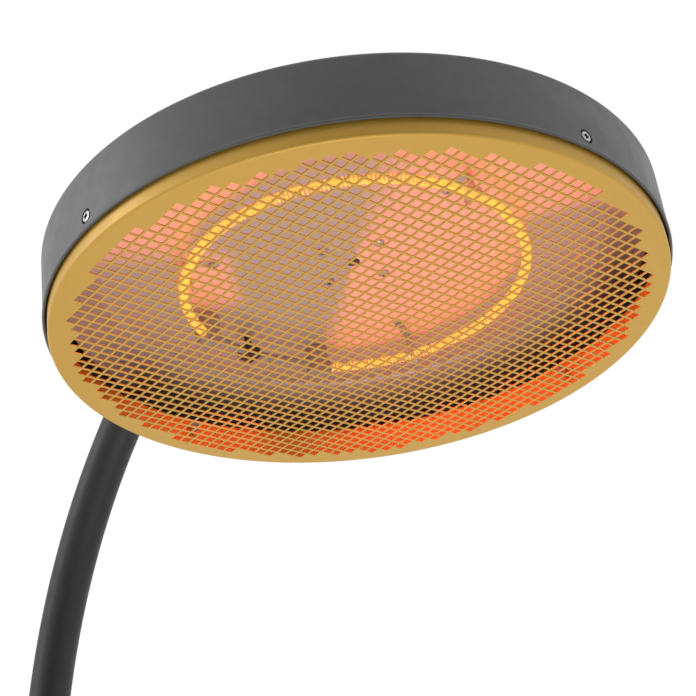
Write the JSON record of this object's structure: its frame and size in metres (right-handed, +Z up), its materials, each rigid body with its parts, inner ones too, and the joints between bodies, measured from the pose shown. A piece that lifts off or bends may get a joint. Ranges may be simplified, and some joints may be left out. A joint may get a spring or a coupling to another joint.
{
  "type": "outdoor heater",
  "caption": "Free-standing outdoor radiant heater: a round head with a ring lamp behind a perforated grille, tilting under the end of an arched pole on a heavy round base.",
  "frame": {"origin": "on the floor, at the centre of the round base's underside", "axes": "+Z up; +X from the pole towards the front, the way the arch reaches; the arch lies in the XZ plane"},
  "size_m": [0.879, 0.56, 2.2217],
  "materials": {
    "powder_coat": "satin",
    "gold_coat": "satin",
    "reflector_aluminium": "polished",
    "zinc_steel": "satin",
    "dark_screw": "satin",
    "spring_steel": "satin",
    "stainless_steel": "satin",
    "lamp_glass": "gloss",
    "lamp_filament": "matte",
    "ceramic": "matte",
    "glass_fibre": "matte",
    "rubber_black": "matte",
    "black_nylon": "matte"
  },
  "bodies": {
    "stand": {"floor_pad": "rubber_black", "base_plate": "powder_coat", "pole_socket": "powder_coat", "socket_screw_1": "zinc_steel", "socket_screw_2": "zinc_steel", "socket_screw_3": "zinc_steel", "socket_screw_4": "zinc_steel", "set_screw_1": "zinc_steel", "set_screw_2": "zinc_steel", "pole_lower": "powder_coat", "pole_joiner": "zinc_steel", "joiner_screw_1": "zinc_steel", "joiner_screw_2": "zinc_steel", "pole_arch": "powder_coat", "supply_cable": "rubber_black", "gland_saddle": "rubber_black", "gland_body": "black_nylon", "gland_nut": "black_nylon", "switch_housing": "stainless_steel", "arch_knuckle": "powder_coat", "tilt_bolt": "zinc_steel", "tilt_nut": "zinc_steel", "friction_washer_1": "black_nylon", "friction_washer_2": "black_nylon"},
    "head": {"head_stem": "powder_coat", "flange_screw_1": "zinc_steel", "flange_screw_2": "zinc_steel", "flange_screw_3": "zinc_steel", "flange_screw_4": "zinc_steel", "canopy": "powder_coat", "canopy_collar": "powder_coat", "terminal_block": "ceramic", "head_shell": "powder_coat", "side_screw_1": "dark_screw", "side_screw_2": "dark_screw", "side_screw_3": "dark_screw", "side_screw_4": "dark_screw", "clinch_nut_1": "zinc_steel", "clinch_nut_2": "zinc_steel", "clinch_nut_3": "zinc_steel", "clinch_nut_4": "zinc_steel", "grille": "gold_coat", "insulation_disc": "glass_fibre", "reflector": "reflector_aluminium", "quartz_ring": "lamp_glass", "filament": "lamp_filament", "lamp_holder_1": "ceramic", "lamp_holder_2": "ceramic", "lamp_clip_1": "spring_steel", "clip_screw_1": "zinc_steel", "lamp_clip_2": "spring_steel", "clip_screw_2": "zinc_steel", "lamp_clip_3": "spring_steel", "clip_screw_3": "zinc_steel", "lead_block": "ceramic", "lamp_lead_1": "glass_fibre", "lamp_lead_2": "glass_fibre"},
    "button": {"push_button": "stainless_steel"}
  },
  "joints": [
    {"name": "head_tilt", "type": "hinge", "parent": "stand", "child": "head", "pos_m": [0.31173, 0, 2.16125], "axis": [0, -1, 0], "range_deg": [-10.6, 19.4]},
    {"name": "power_button", "type": "slide", "parent": "stand", "child": "button", "axis": [-1, 0, 0], "range_m": [0, 0.0015], "stiffness_N_per_m": 800, "springref_m": -0.002}
  ]
}
